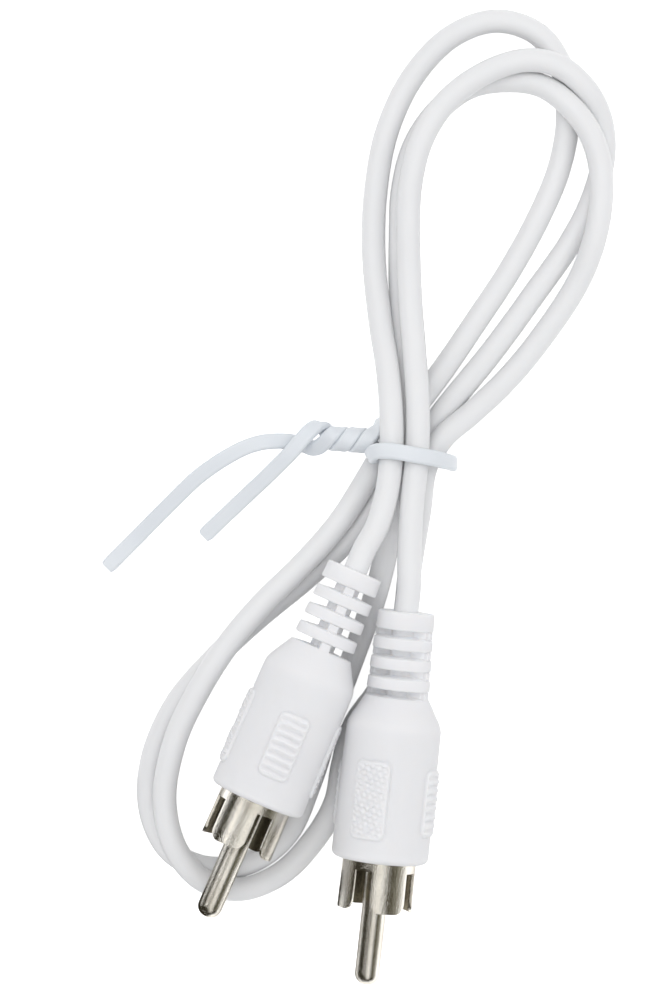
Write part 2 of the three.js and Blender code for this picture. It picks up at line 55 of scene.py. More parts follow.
# Cable, in mm
CABLE_D = 3.1
CABLE_END = 16.8
CABLE_STRAIGHT = 3
CABLE_STEP = 0.8
CABLE_SIDES = 24
CABLE_RUN = [
    (9.7, -7.2, 8.7), (10, -1, 8.8), (10.7, 5.8, 8.7), (10.8, 12.2, 8.3), (10.4, 19, 7.1),
    (9.9, 26, 5.7), (9.7, 33.5, 4.9), (9.9, 40.3, 4.8), (11.3, 46.2, 4.8), (14.2, 51, 4.8),
    (18.8, 54.7, 4.8), (24.3, 56.7, 4.8), (28.8, 56.1, 5), (32.4, 53.3, 4.3), (34.6, 49.5, 2.5),
    (35.1, 44.8, 1.6), (33.6, 39, 1.6), (30.8, 33.5, 1.6), (26.1, 26.8, 1.6), (20.6, 19.3, 1.7),
    (14.2, 11.4, 2.2), (10, 5.7, 2.8), (5.9, 0, 2.2), (1.4, -5.5, 1.9), (-3.9, -10.4, 1.7),
    (-9.4, -14.9, 1.6), (-14.5, -19.6, 1.6), (-20.6, -26.7, 1.6), (-23.7, -34.4, 1.6),
    (-23.6, -41, 1.6), (-20.9, -45.8, 1.6), (-16, -47.8, 1.6), (-10.8, -47, 1.6),
    (-6.1, -43.4, 1.6), (-3, -36.6, 1.6), (-0.5, -28.6, 1.6), (2.8, -19.7, 1.8),
    (5.6, -11.7, 2.9), (7.4, -3.5, 4.9), (8.9, 5.8, 5.9), (9, 11.6, 5.6), (8.9, 18.1, 3.9),
    (8.7, 25.9, 2), (8.7, 33.8, 1.6), (9, 40.3, 1.6), (10.5, 46, 1.6), (13.6, 50.6, 1.6),
    (17.9, 53.7, 1.6), (22.9, 54.4, 2.2), (26.9, 53.6, 3.5), (30.1, 51.2, 4.9), (32.6, 48.2, 5),
    (34.1, 44.6, 4.9), (34.6, 40, 4.8), (33.8, 34, 4.4), (31.6, 28.1, 2.9), (26.5, 20.4, 1.9),
    (22.2, 15.3, 2), (17.7, 11.1, 3.4), (14.1, 8, 4.9), (11.9, 4.2, 5.1), (11.1, -1.4, 4.4),
    (10, -8.4, 2.3), (8.9, -16.9, 1.6), (6.3, -24, 1.6), (2.7, -29.3, 1.6), (1.2, -34.4, 1.6),
    (0.2, -39.4, 1.6), (-2.9, -44.6, 1.6), (-7, -48.6, 1.8), (-12, -50.4, 3), (-16.8, -49.1, 4.6),
    (-20.3, -45.1, 4.8), (-21.8, -38.7, 4.6), (-20.5, -31.3, 4.7), (-17.9, -25.5, 4.8),
    (-13.9, -19, 4.8), (-9.3, -13.5, 4.7), (-4.1, -8.4, 4.5), (0.8, -2.8, 4.3), (5.8, 5.1, 3.1),
    (9.8, 11, 2.6), (14.2, 16.9, 1.9), (18.7, 23.5, 1.6), (22.8, 29.7, 1.6), (26.6, 36.6, 1.6),
    (29.3, 43.1, 1.6), (30.4, 49.6, 1.6), (29.5, 56.4, 1.6), (26.4, 60.6, 1.6), (21.1, 62.2, 1.6),
    (15.5, 60.3, 1.6), (10.4, 55.1, 1.6), (7, 48, 1.6), (5.5, 40.3, 1.6), (5.2, 32.4, 1.8),
    (6, 23.3, 4.4), (7, 16.4, 7), (7.4, 10.9, 8.5), (7.4, 5.8, 8.7), (6.9, 1.3, 8.9),
    (5.6, -3.3, 9.3),
]

# Wire tie, in mm: where it runs, and which way its broad face looks
TIE_W = 2.05
TIE_T = 1.15
TIE_CORNER = 0.42
TIE_CORNER_STEPS = 5
TIE_STEP = 0.3
# Width of the strip's last two sections at each end, as a share
TIE_END_TRIM = (0.82, 0.96)
TWIST_TURNS = 1.05
TWIST_START = 48
TWIST_R_RIGHT = 1.1
TWIST_R_LEFT = 1
TWIST_STEPS = 10
TWIST_RIGHT = (5, 7.6, 6.3)
TWIST_LEFT = (-0.1, 7.9, 6)
UP = (0, 0, 1)
TIE_LONG_END = [
    (-29.5, -8.8, 0.7, UP), (-25.4, -4.7, 1.2, UP), (-21.6, -0.9, 2.4, UP), (-17.1, 3.3, 3.9, UP),
    (-12, 6.5, 5, UP), (-9.3, 7.4, 5.2, UP), (-6.8, 7.6, 5, UP), (-4.3, 7.3, 4.9, UP),
    (-2.3, 6.7, 5.5, (0, -0.5, 0.8)),
]
TIE_LOOP = [
    (5.9, 9.5, 6.1, (-0.5, 0.8, 0)), (6, 9.8, 4.6, (-0.7, 0.6, -0.4)),
    (5.7, 9.5, 2.8, (-0.9, 0.2, -0.3)), (6.5, 8.6, 1.2, (-0.5, 0, -0.8)),
    (8.3, 7.5, 0.6, (0, 0, -1)), (10.9, 6.1, 0.6, (0, 0, -1)), (13.2, 5.3, 1.4, (0.4, 0, -1)),
    (15, 4.9, 3.2, (0.8, 0, -0.6)), (15.4, 4.7, 5.4, (1, 0, -0.1)), (14.7, 4.9, 8, (1, 0, 0.4)),
    (12.9, 5.3, 10.3, (0.6, 0, 0.8)), (10.6, 5.7, 11, (0, 0, 1)), (7.5, 6.2, 11, (0, 0, 1)),
    (5.5, 6.2, 10.3, (-0.6, 0, 0.8)), (4.8, 5.7, 8.8, (-0.9, -0.3, 0.2)),
    (5.1, 5.6, 7.3, (-0.5, -0.9, 0)),
]
TIE_SHORT_END = [
    (-1, 9, 5.1, (0, 0.6, -0.8)), (-1.9, 9.6, 6, (0, 0.9, 0.3)), (-3.1, 8.8, 6.8, (0, 0.3, 0.9)),
    (-5.3, 6.3, 6.8, UP), (-8.2, 3.4, 5.6, UP), (-11.3, 0.5, 4.3, UP), (-14.4, -2.4, 3.1, UP),
    (-16.8, -4.7, 2.2, UP),
]

# Plug body, in mm along its axis from the back of the neck
BODY_L = 32
BODY_R = 6.25
SHOULDER_R = 6.1
NECK_BACK_R = 3.65
NECK_FRONT_R = 4.1
NECK_L = 11
SHOULDER_L = 3.5
BORE_R = 1.85
CAVITY_R = 5.025
CAVITY_START = 15.3
FRONT_FILLET = 0.8
SLOT_COUNT = 4
SLOT_W = 1.05
SLOT_PITCH = 2.56
SLOT_START = 2.3
SLOT_DRAFT = 0.2
SLOT_LIP = 0.04
SPINE_W = 1.3
SPINE_SINK = 0.03
SPINE_CORNER = 0.1
CORE_R = 1.6
CORE_CHAMFER = 0.1
NECK_EDGE = 0.22
# Deeper than this below the back ring, a face is inside a slot and is given a lighter colour:
# painted light in the slots
SLOT_PAINTED_LIGHT_DEPTH = 0.35
SHOULDER_BLEND = 0.75
MOUTH_CHAMFER = 0.12
# Points round the body, and how many of them a spine's half top and side take
BODY_SIDES = 320
SPINE_TOP = 8
SPINE_SIDE = 6
NECK_EDGE_STEPS = 4
BLEND_STEPS = 6
FILLET_STEPS = 8
BODY_STEP = 0.3
PAD_STEP = 0.11
CAVITY_STEP = 2

# Grip pads, in mm
PAD_CENTRE = 24
PAD_HALF_L = 5.6
PAD_RISE = 0.27
PAD_CORNER = 0.9
RIM_START = 0.06
RIM_W = 0.24
GROOVE_START = 0.34
GROOVE_END = 0.02
GROOVE_WALL = 0.14
GROOVE_DEPTH = 0.06
RIBBED = (4.1, 8.5)
STIPPLED = (4.7, 10)
RIDGE_COUNT = 7
RIDGE_PITCH = 1.13
RIDGE_RISE = 0.16
RIDGE_BASE = 0.02
RIDGE_INSET = 0.22
RIDGE_FADE = 0.3
RIDGE_END_FADE = 0.15
RIDGE_SWAY = 0.06
RIDGE_RIPPLE = 0.02
STIPPLE_INSET = 0.25
STIPPLE_FADE = 0.25
STIPPLE_ROW = 0.68
STIPPLE_COLUMN = 0.9
STIPPLE_LEAN = 0.3
STIPPLE_SHEAR = 0.2
STIPPLE_JITTER = 0.24
STIPPLE_RISE = 0.12
STIPPLE_DIP = 0.08

# Shell, in mm along the same axis, with its slots in degrees
SHELL_R = 4.725
SHELL_WALL = 0.35
SHELL_BACK = 27.6
SHELL_FRONT = 38.4
SHELL_HOLE_R = 2.5
PETAL_L = 5.2
PETAL_CORNER = 1.4
PETAL_FLARE = 0.012
SLOT_ANGLE = 30
SHELL_BEND = 0.35
SHELL_FLAT = 0.5
SHELL_EDGE = 0.09
SHELL_RINGS = (29.2, 31, 32.4)
PETAL_RING = 0.3
BEND_STEPS = 3
PETAL_COLUMNS = 20
SLOT_COLUMNS = 8
PETAL_STEPS = 6
CORNER_STEPS = 9

# Pin, in mm along the same axis, with the solder cup behind it
PIN_R = 1.575
PIN_L = 16.2
PIN_NOSE = 1.45
PIN_START = 26.8
PIN_CHAMFER = (0.08, 0.1)
PIN_RINGS = (33, 38, 43)
PIN_RING = 0.3
NOSE_STEPS = 12
NOSE_FULLNESS = 0.9
CUP_R = 1.1
CUP_BORE_R = 0.6
CUP_START = 24.5
CUP_BOTTOM = 27.5

# Insulator, in mm along the same axis: a hub, and a disc with a groove in its front
HUB_BORE_R = 1.875
HUB_R = 2.2
HUB_START = 26.3
HUB_CHAMFER = 0.1
DISC_R = 4.075
DISC_START = 28.4
DISC_FRONT = 32.6
DISC_CHAMFER = 0.15
DISC_GROOVE = (2.5, 3.35)
DISC_GROOVE_SLOPE = 0.1
DISC_GROOVE_DEPTH = 0.25

# Turned parts: points round them, smallest radius, and how near points are joined, in mm
TURNED_SIDES = 64
AXIS_R = 0.004
WELD = 0.01

# Bumps in the materials, in metres
PLASTIC_GRAIN = 0.00004
METAL_GRAIN = 0.00003

# Stage, in metres
FLOOR_SIZE = 3
FLOOR_DROP = 0.00002
CARD_REACH = 0.6
FLOOR_CARD_HEIGHT = 0.0004
BROWN = (0.044, 0.039, 0.028)
# Cards above the set, glowing only in reflections to paint bright and dark reflections on the
# metal: first and last angle from straight up in degrees, first and last place along the set in
# metres, and tone
CARDS = {
    "card_left": (-89.5, -46, -1, 1, BROWN),
    "card_left_top": (-46, -25, -1, 0.02, BROWN),
    "card_bright": (-46, -25, 0.03, 1, (2, 1.97, 1.93)),
    "card_grey": (-24, -9, -1, 1, (0.14, 0.13, 0.11)),
    "card_top": (-8, 17, -1, 1, (1.15, 1.13, 1.08)),
    "card_right": (28, 58, -1, 1, (0.085, 0.075, 0.05)),
    "card_right_low": (58, 84, -1, 1, (0.36, 0.35, 0.3)),
}
# Cards on the floor, painting dark reflections of the floor under the metal parts: left, right,
# near and far edge in metres
FLOOR_CARDS = {
    "card_floor": (-0.6, -0.012, -0.2, -0.01),
    "card_between": (0, 0.006, -0.045, -0.022),
}
# Dark card in front, seen only in reflections: a painted dark reflection
FRONT_CARD = [(-0.6, -0.5, 0), (0.6, -0.5, 0), (0.6, -0.45, 0.3), (-0.6, -0.45, 0.3)]


def lerp(a, b, t):
    return a + (b - a) * t


def smooth(t):
    """Eases from 0 to 1 as t goes from 0 to 1."""
    t = min(max(t, 0), 1)
    return t * t * (3 - 2 * t)


# Camera


def look_down():
    data = bpy.data.cameras.new("camera")
    data.lens = LENS
    data.sensor_width = SENSOR
    data.sensor_fit = "AUTO"
    data.clip_start = 0.01
    data.clip_end = 10
    camera = bpy.data.objects.new("camera", data)
    camera.location = (SHIFT + Vector((0, 0, CAMERA_HEIGHT))) * MM
    bpy.context.collection.objects.link(camera)
    bpy.context.scene.camera = camera


# Curves


class Path:
    """Smooth curve through points, spaced evenly along its length."""

    PARTS = 24

    def __init__(self, points):
        self.points = [Vector(p) for p in points]
        self.dense = []
        for i in range(len(self.points) - 1):
            for j in range(self.PARTS):
                self.dense.append((self.at(i, j / self.PARTS), i + j / self.PARTS))
        self.dense.append((self.points[-1].copy(), len(self.points) - 1))
        self.lengths = [0.0]
        for (a, _), (b, _) in zip(self.dense, self.dense[1:]):
            self.lengths.append(self.lengths[-1] + (b - a).length)
        self.length = self.lengths[-1]

    def at(self, i, t):
        """Point on the centripetal curve between given points i and i + 1."""
        pts = self.points
        p1, p2 = pts[i], pts[i + 1]
        p0 = pts[i - 1] if i > 0 else p1 * 2 - p2
        p3 = pts[i + 2] if i + 2 < len(pts) else p2 * 2 - p1
        d0 = (p1 - p0).length ** 0.5
        d1 = (p2 - p1).length ** 0.5
        d2 = (p3 - p2).length ** 0.5
        t1 = ((p1 - p0) / d0 - (p2 - p0) / (d0 + d1) + (p2 - p1) / d1) * d1
        t2 = ((p2 - p1) / d1 - (p3 - p1) / (d1 + d2) + (p3 - p2) / d2) * d1
        c2 = p1 * -3 + p2 * 3 - t1 * 2 - t2
        c3 = p1 * 2 - p2 * 2 + t1 + t2
        return p1 + t1 * t + c2 * t * t + c3 * t * t * t

    def spaced(self, step):
        """Points about step apart, each with its place counted in given points."""
        count = max(2, round(self.length / step))
        out = []
        k = 0
        for n in range(count + 1):
            want = self.length * n / count
            while k < len(self.lengths) - 2 and self.lengths[k + 1] < want:
                k += 1
            span = self.lengths[k + 1] - self.lengths[k]
            t = (want - self.lengths[k]) / span if span else 0
            (a, ua), (b, ub) = self.dense[k], self.dense[k + 1]
            out.append((a.lerp(b, t), lerp(ua, ub, t)))
        return out


def tangents(points):
    out = []
    for i in range(len(points)):
        a = points[max(i - 1, 0)]
        b = points[min(i + 1, len(points) - 1)]
        out.append((b - a).normalized())
    return out


# Placing a plug


def plug_matrix(letter, turn):
    """From a plug's own axes in mm to the row's, turned about the plug's axis, local Y."""
    spec = PLUGS[letter]
    heading = math.radians(spec["heading"])
    drop = math.radians(spec["tilt"])
    axis = Vector((
        -math.sin(heading) * math.cos(drop), -math.cos(heading) * math.cos(drop),
        -math.sin(drop)))
    side = axis.cross(Vector(UP)).normalized()
    up = side.cross(axis)
    basis = Matrix((side, axis, up)).transposed().to_4x4()
    place = Matrix.Translation(Vector(spec["back"]) + SHIFT)
    return Matrix.Scale(MM, 4) @ place @ basis @ Matrix.Rotation(math.radians(turn), 4, "Y")


# Meshes


def finish_mesh(name, bm, material, nodes, matrix=None, flat_angle=None):
    if matrix is not None:
        bmesh.ops.transform(bm, matrix=matrix, verts=bm.verts)
    bmesh.ops.recalc_face_normals(bm, faces=bm.faces)
    mesh = bpy.data.meshes.new(name)
    bm.to_mesh(mesh)
    bm.free()
    for polygon in mesh.polygons:
        polygon.use_smooth = True
    if flat_angle:
        mesh.set_sharp_from_angle(angle=math.radians(flat_angle))
    mesh.materials.append(material)
    obj = bpy.data.objects.new(name, mesh)
    bpy.context.collection.objects.link(obj)
    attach(obj, "root")
    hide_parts(*nodes)
    return obj


def add_grid(bm, rows, closed_u, closed_v, uv=None):
    """Quads between rows of points; uv gives a corner's place from its row and column."""
    verts = [[bm.verts.new(p) for p in row] for row in rows]
    layer = bm.loops.layers.uv.verify() if uv else None
    row_count = len(rows)
    column_count = len(rows[0])
    for i in range(row_count if closed_v else row_count - 1):
        for j in range(column_count if closed_u else column_count - 1):
            i2 = (i + 1) % row_count
            j2 = (j + 1) % column_count
            face = bm.faces.new((verts[i][j], verts[i][j2], verts[i2][j2], verts[i2][j]))
            if layer:
                corners = ((i, j), (i, j + 1), (i + 1, j + 1), (i + 1, j))
                for loop, (a, b) in zip(face.loops, corners):
                    loop[layer].uv = uv(a, b)
    return verts


def cap_ends(bm, verts):
    bm.faces.new(verts[0][::-1])
    bm.faces.new(verts[-1])


def on_ring(radius, angle, place):
    """Point about local Y; angle 0 is local +Z."""
    return Vector((radius * math.sin(angle), place, radius * math.cos(angle)))


def lathe(bm, profile, closed):
    """Turned surface about local Y; profile is [radius, along] points."""
    turns = [2 * math.pi * j / TURNED_SIDES for j in range(TURNED_SIDES)]
    rows = [
        [Vector((radius * math.cos(turn), along, radius * math.sin(turn))) for turn in turns]
        for radius, along in profile]
    add_grid(bm, rows, True, closed)


def wrap_uv(bm):
    """Coordinates round local Y in turns, and along it in metres."""
    layer = bm.loops.layers.uv.verify()
    for face in bm.faces:
        for loop in face.loops:
            co = loop.vert.co
            loop[layer].uv = (math.atan2(co.x, co.z) / (2 * math.pi), co.y * MM)


def tube(bm, points, radius, sides):
    """Round tube along points, with uv: around, and metres along."""
    along = tangents(points)
    normal = along[0].orthogonal().normalized()
    rows = []
    reach = [0.0]
    for i, (point, tangent) in enumerate(zip(points, along)):
        normal = (normal - tangent * normal.dot(tangent)).normalized()
        other = tangent.cross(normal)
        rows.append([
            point + (normal * math.cos(a) + other * math.sin(a)) * radius
            for a in (2 * math.pi * j / sides for j in range(sides))])
        if i:
            reach.append(reach[-1] + (point - points[i - 1]).length)
    cap_ends(bm, add_grid(bm, rows, True, False, uv=lambda a, b: (b / sides, reach[a])))


# Materials


def material(name):
    made = bpy.data.materials.new(name)
    made.use_nodes = True
    nodes = made.node_tree.nodes
    nodes.clear()
    out = nodes.new("ShaderNodeOutputMaterial")
    shader = nodes.new("ShaderNodeBsdfPrincipled")
    made.node_tree.links.new(shader.outputs["BSDF"], out.inputs["Surface"])
    return made, made.node_tree, shader


def node(tree, kind, **values):
    made = tree.nodes.new(kind)
    for key, value in values.items():
        if key in made.inputs:
            made.inputs[key].default_value = value
        else:
            setattr(made, key, value)
    return made


def coords(tree, kind="Object", scale=(1, 1, 1)):
    source = tree.nodes.new("ShaderNodeTexCoord")
    mapping = tree.nodes.new("ShaderNodeMapping")
    mapping.inputs["Scale"].default_value = scale
    tree.links.new(source.outputs[kind], mapping.inputs["Vector"])
    return mapping.outputs["Vector"]


def noise(tree, vector, scale, detail, rough=0.5):
    made = node(tree, "ShaderNodeTexNoise", Scale=scale, Detail=detail, Roughness=rough)
    tree.links.new(vector, made.inputs["Vector"])
    return made.outputs["Fac"]


def tint(tree, shader, value, low, high, margin=0.3):
    """Base colour between low and high, as the value drifts across its middle."""
    made = tree.nodes.new("ShaderNodeValToRGB")
    first, last = made.color_ramp.elements
    first.position, first.color = margin, (*low, 1)
    last.position, last.color = 1 - margin, (*high, 1)
    tree.links.new(value, made.inputs["Fac"])
    tree.links.new(made.outputs["Color"], shader.inputs["Base Color"])


def roughen(tree, shader, value, low, high):
    """Roughness between low and high."""
    made = tree.nodes.new("ShaderNodeMapRange")
    made.inputs["To Min"].default_value = low
    made.inputs["To Max"].default_value = high
    tree.links.new(value, made.inputs["Value"])
    tree.links.new(made.outputs["Result"], shader.inputs["Roughness"])


def bump(tree, shader, height, strength, distance):
    made = node(tree, "ShaderNodeBump", Strength=strength, Distance=distance)
    tree.links.new(height, made.inputs["Height"])
    tree.links.new(made.outputs["Normal"], shader.inputs["Normal"])


def make_milky(shader, weight, depth, specular):
    """Light goes a little way into soft plastic; depth is in metres."""
    shader.inputs["Specular IOR Level"].default_value = specular
    shader.inputs["Subsurface Weight"].default_value = weight
    shader.inputs["Subsurface Radius"].default_value = (1, 0.95, 0.9)
    shader.inputs["Subsurface Scale"].default_value = depth


def soft_plastic(
        name, low, high, rough, grain_scale, grain, milky, specular=0.5, depth=0.0008):
    made, tree, shader = material(name)
    where = coords(tree)
    tint(tree, shader, noise(tree, where, scale=60, detail=3), low, high)
    rubbed = noise(tree, where, scale=350, detail=3, rough=0.6)
    roughen(tree, shader, rubbed, rough - 0.06, rough + 0.08)
    make_milky(shader, milky, depth, specular)
    grains = noise(tree, where, scale=grain_scale, detail=4, rough=0.6)
    bump(tree, shader, grains, grain, PLASTIC_GRAIN)
    return made


def jacket_material():
    """Extruded soft jacket: faint lines along it that change its gloss, and slow drifts of tone.
    """
    made, tree, shader = material("cable_jacket")
    along = coords(tree, "UV", (26, 60, 1))
    lines = noise(tree, along, scale=1, detail=3, rough=0.55)
    drift = noise(tree, coords(tree), scale=45, detail=3)
    tint(tree, shader, drift, (0.778, 0.782, 0.79), (0.813, 0.816, 0.822))
    roughen(tree, shader, lines, 0.3, 0.44)
    make_milky(shader, weight=0.35, depth=0.0008, specular=0.16)
    bump(tree, shader, lines, 0.12, PLASTIC_GRAIN)
    return made


def nickel_material(name, around, low=(0.66, 0.63, 0.57), high=(0.78, 0.76, 0.71)):
    """Bright nickel plate with fine marks of drawing or turning and faint pitting."""
    made, tree, shader = material(name)
    where = coords(tree)
    shader.inputs["Metallic"].default_value = 1
    shader.inputs["Specular Tint"].default_value = (0.55, 0.53, 0.5, 1)
    tint(tree, shader, noise(tree, where, scale=220, detail=3), low, high)
    marks = noise(tree, coords(tree, "UV", around), scale=1, detail=3, rough=0.6)
    roughen(tree, shader, marks, 0.05, 0.14)
    pits = noise(tree, where, scale=6500, detail=2, rough=0.7)
    both = node(tree, "ShaderNodeMath", operation="ADD")
    tree.links.new(marks, both.inputs[0])
    tree.links.new(pits, both.inputs[1])
    bump(tree, shader, both.outputs["Value"], 1, METAL_GRAIN)
    return made


def wire_material(name, low, high, rough):
    made, tree, shader = material(name)
    where = coords(tree)
    shader.inputs["Metallic"].default_value = 1
    tint(tree, shader, noise(tree, where, scale=900, detail=3), low, high, margin=0.35)
    rubbed = noise(tree, where, scale=1500, detail=3)
    roughen(tree, shader, rubbed, rough - 0.08, rough + 0.1)
    bump(tree, shader, noise(tree, where, scale=3000, detail=2), 0.3, METAL_GRAIN)
    return made


# Cable


def cable_points():
    def end(letter):
        matrix = plug_matrix(letter, 0)
        return [
            matrix @ Vector((0, along, 0))
            for along in (CABLE_END, CABLE_END / 2, 0, -CABLE_STRAIGHT)]

    run = [(Vector(p) + SHIFT) * MM for p in CABLE_RUN]
    return end("b") + run + end("a")[::-1]


def build_cable(look):
    path = Path(cable_points())
    points = [p for p, _ in path.spaced(CABLE_STEP * MM)]
    bm = bmesh.new()
    tube(bm, points, CABLE_D / 2 * MM, CABLE_SIDES)
    obj = finish_mesh("cable_jacket", bm, look, ["cable"], flat_angle=50)
    return obj, points, path.length


# Plug bodies


def body_radius(along):
    """Radius of the body from the shoulder on, with its corners rounded off."""
    edge = NECK_L + SHOULDER_L
    if along <= edge:
        radius = lerp(NECK_FRONT_R, SHOULDER_R, (along - NECK_L) / SHOULDER_L)
    else:
        radius = lerp(SHOULDER_R, BODY_R, (along - edge) / (BODY_L - edge))
    front = BODY_L - FRONT_FILLET
    if along > front:
        drop = (along - front) / FRONT_FILLET
        radius -= FRONT_FILLET * (1 - math.sqrt(max(0, 1 - drop * drop)))
    return radius


def rounded_body_radius(along):
    """body_radius averaged a little each way near the shoulder."""
    if abs(along - NECK_L - SHOULDER_L) > 2 * SHOULDER_BLEND:
        return body_radius(along)
    total = 0
    for k in range(-BLEND_STEPS, BLEND_STEPS + 1):
        place = along + SHOULDER_BLEND * k / BLEND_STEPS
        total += body_radius(min(max(place, NECK_L), BODY_L - FRONT_FILLET))
    return total / (2 * BLEND_STEPS + 1)


def box_edge(x, y, half_x, half_y, corner):
    """Distance inside (positive) a rounded rectangle."""
    qx = abs(x) - (half_x - corner)
    qy = abs(y) - (half_y - corner)
    outside = math.hypot(max(qx, 0), max(qy, 0))
    return corner - outside - min(max(qx, qy), 0)


def pad_rim(inside):
    """Height near a pad's edge: a fine groove outside it, then a steep rise."""
    groove = smooth((inside + GROOVE_START) / GROOVE_WALL)
    groove *= smooth((GROOVE_END - inside) / GROOVE_WALL)
    return PAD_RISE * smooth((inside + RIM_START) / RIM_W) - GROOVE_DEPTH * groove


def ribbed_height(x, y):
    """Height of a pad with slightly wavy ridges across it."""
    inside = box_edge(x, y, RIBBED[0] / 2, RIBBED[1] / 2, PAD_CORNER)
    sway = RIDGE_SWAY * math.sin(1.6 * x + 0.8)
    ripple = RIDGE_RIPPLE * math.sin(5 * x + 3 * y)
    crown = math.cos(2 * math.pi * (y + sway + ripple) / RIDGE_PITCH + math.pi)
    reach = RIDGE_COUNT * RIDGE_PITCH / 2
    inner = smooth((inside - RIDGE_INSET) / RIDGE_FADE)
    inner *= smooth((reach - abs(y)) / RIDGE_END_FADE)
    return pad_rim(inside) + inner * (RIDGE_RISE * crown + RIDGE_BASE)


def stippled_height(x, y):
    """Height of a pad with uneven grains in leaning rows."""
    inside = box_edge(x, y, STIPPLED[0] / 2, STIPPLED[1] / 2, PAD_CORNER)
    inner = smooth((inside - STIPPLE_INSET) / STIPPLE_FADE)
    v = (y + STIPPLE_LEAN * x) / STIPPLE_ROW
    row = math.floor(v)
    u = (x - STIPPLE_SHEAR * y) / STIPPLE_COLUMN + 0.5 * (row % 2)
    column = math.floor(u)
    # Between 0 and 1, and different for each grain
    chance = math.sin(row * 12.9898 + column * 78.233) * 43.7585
    chance -= math.floor(chance)
    du = u - column - 0.5 + STIPPLE_JITTER * (chance - 0.5)
    dv = v - row - 0.5
    grain = smooth(1.5 * max(0, 1 - (abs(du) * 1.5 + abs(dv) * 1.3)))
    return pad_rim(inside) + inner * (STIPPLE_RISE * (1 + chance) * grain - STIPPLE_DIP)


def pad_height(angle, along):
    """How far the four grip pads stand out; angle 0 is local +Z."""
    y = along - PAD_CENTRE
    if abs(y) > max(RIBBED[1], STIPPLED[1]) / 2 + 1:
        return 0
    quarter = math.pi / 2
    which = round(angle / quarter)
    x = (angle - which * quarter) * BODY_R
    return stippled_height(x, y) if which % 2 else ribbed_height(x, y)


def body_angles():
    return [2 * math.pi * j / BODY_SIDES for j in range(BODY_SIDES)]


def circle_row(radius, place):
    return [on_ring(radius, angle, place) for angle in body_angles()]


def slot_row(top, place):
    """Section through a slot: the core with a spine above it and one below."""
    half = SPINE_W / 2
    per_half = BODY_SIDES // 2
    per_quarter = BODY_SIDES // 4
    spine_end = SPINE_TOP + SPINE_SIDE
    flank = math.sqrt(CORE_R * CORE_R - half * half)
    row = []
    for j in range(BODY_SIDES):
        turn = (j + per_quarter) % per_half - per_quarter
        step = abs(turn)
        if step <= SPINE_TOP:
            x = half * step / (SPINE_TOP + 1)
            z = math.sqrt(top * top - x * x)
        elif step <= spine_end:
            x = half
            z = lerp(top - SPINE_CORNER, flank, (step - SPINE_TOP - 1) / (SPINE_SIDE - 1))
        else:
            part = (step - spine_end) / (per_quarter - spine_end)
            angle = lerp(math.asin(half / CORE_R), math.pi / 2, part)
            x = CORE_R * math.sin(angle)
            z = CORE_R * math.cos(angle)
        side = 1 if turn >= 0 else -1
        facing = -1 if per_quarter <= j < per_half + per_quarter else 1
        row.append(Vector((x * side * facing, place, z * facing)))
    return row


def neck_radius(place):
    return lerp(NECK_BACK_R, NECK_FRONT_R, place / NECK_L)


def neck_rows():
    """Rings of the slotted neck, with the core and two spines between them."""
    bands = [(0, SLOT_START)]
    for i in range(1, SLOT_COUNT):
        start = SLOT_START + (i - 1) * SLOT_PITCH + SLOT_W
        bands.append((start, start + SLOT_PITCH - SLOT_W))
    turns = [math.pi / 2 * k / NECK_EDGE_STEPS for k in range(NECK_EDGE_STEPS + 1)]
    rows = [circle_row(CORE_R - CORE_CHAMFER, 0)]
    for start, end in bands:
        if start:
            rows.append(slot_row(neck_radius(start) - SPINE_SINK, start - SLOT_DRAFT))
        for turn in turns:
            rows.append(circle_row(
                neck_radius(start) - NECK_EDGE + NECK_EDGE * math.sin(turn),
                start + NECK_EDGE - NECK_EDGE * math.cos(turn)))
        for turn in turns:
            rows.append(circle_row(
                neck_radius(end) - NECK_EDGE + NECK_EDGE * math.cos(turn),
                end - NECK_EDGE + NECK_EDGE * math.sin(turn)))
        rows.append(slot_row(neck_radius(end) - SPINE_SINK, end + SLOT_LIP))
    rows.append(slot_row(neck_radius(NECK_L) - SPINE_SINK, NECK_L - SLOT_DRAFT))
    return rows


def body_places():
    """Places of the rings from the neck to the rounded front edge, finer at the pads."""
    places = []
    along = NECK_L
    front = BODY_L - FRONT_FILLET
    while along < front:
        places.append(along)
        along += PAD_STEP if abs(along - PAD_CENTRE) < PAD_HALF_L else BODY_STEP
    for k in range(FILLET_STEPS + 1):
        places.append(front + FRONT_FILLET * math.sin(math.pi / 2 * k / FILLET_STEPS))
    return places


def build_body(letter, look, painted_light_look):
    bm = bmesh.new()
    rows = neck_rows()
    for place in body_places():
        base = rounded_body_radius(place)
        rows.append([
            on_ring(base + pad_height(angle, place), angle, place) for angle in body_angles()])
    for radius, place in (
            (CAVITY_R + MOUTH_CHAMFER, BODY_L), (CAVITY_R, BODY_L - MOUTH_CHAMFER),
            (CAVITY_R, CAVITY_START + CAVITY_STEP), (CAVITY_R, CAVITY_START),
            (BORE_R, CAVITY_START)):
        rows.append(circle_row(radius, place))
    add_grid(bm, rows, True, False)
    # Faces deep in the neck's slots take the second, lighter material: painted light where the
    # slots are shaded
    for face in bm.faces:
        middle = face.calc_center_median()
        deep = math.hypot(middle.x, middle.z) < NECK_BACK_R - SLOT_PAINTED_LIGHT_DEPTH
        if middle.y < NECK_L and deep:
            face.material_index = 1
    matrix = plug_matrix(letter, PLUGS[letter]["roll"])
    obj = finish_mesh(
        f"plug_moulding_{letter}", bm, look, [f"plug_body_{letter}"], matrix,
        flat_angle=40)
    obj.data.materials.append(painted_light_look)
    return obj


# Metal parts and insulator


def petal_half_angle(place, full):
    """Half the petal's width, as an angle, at a place along the axis."""
    past = place - (SHELL_FRONT - PETAL_CORNER)
    if past <= 0:
        return full
    cut = PETAL_CORNER - math.sqrt(max(0, PETAL_CORNER * PETAL_CORNER - past * past))
    return full - cut / SHELL_R


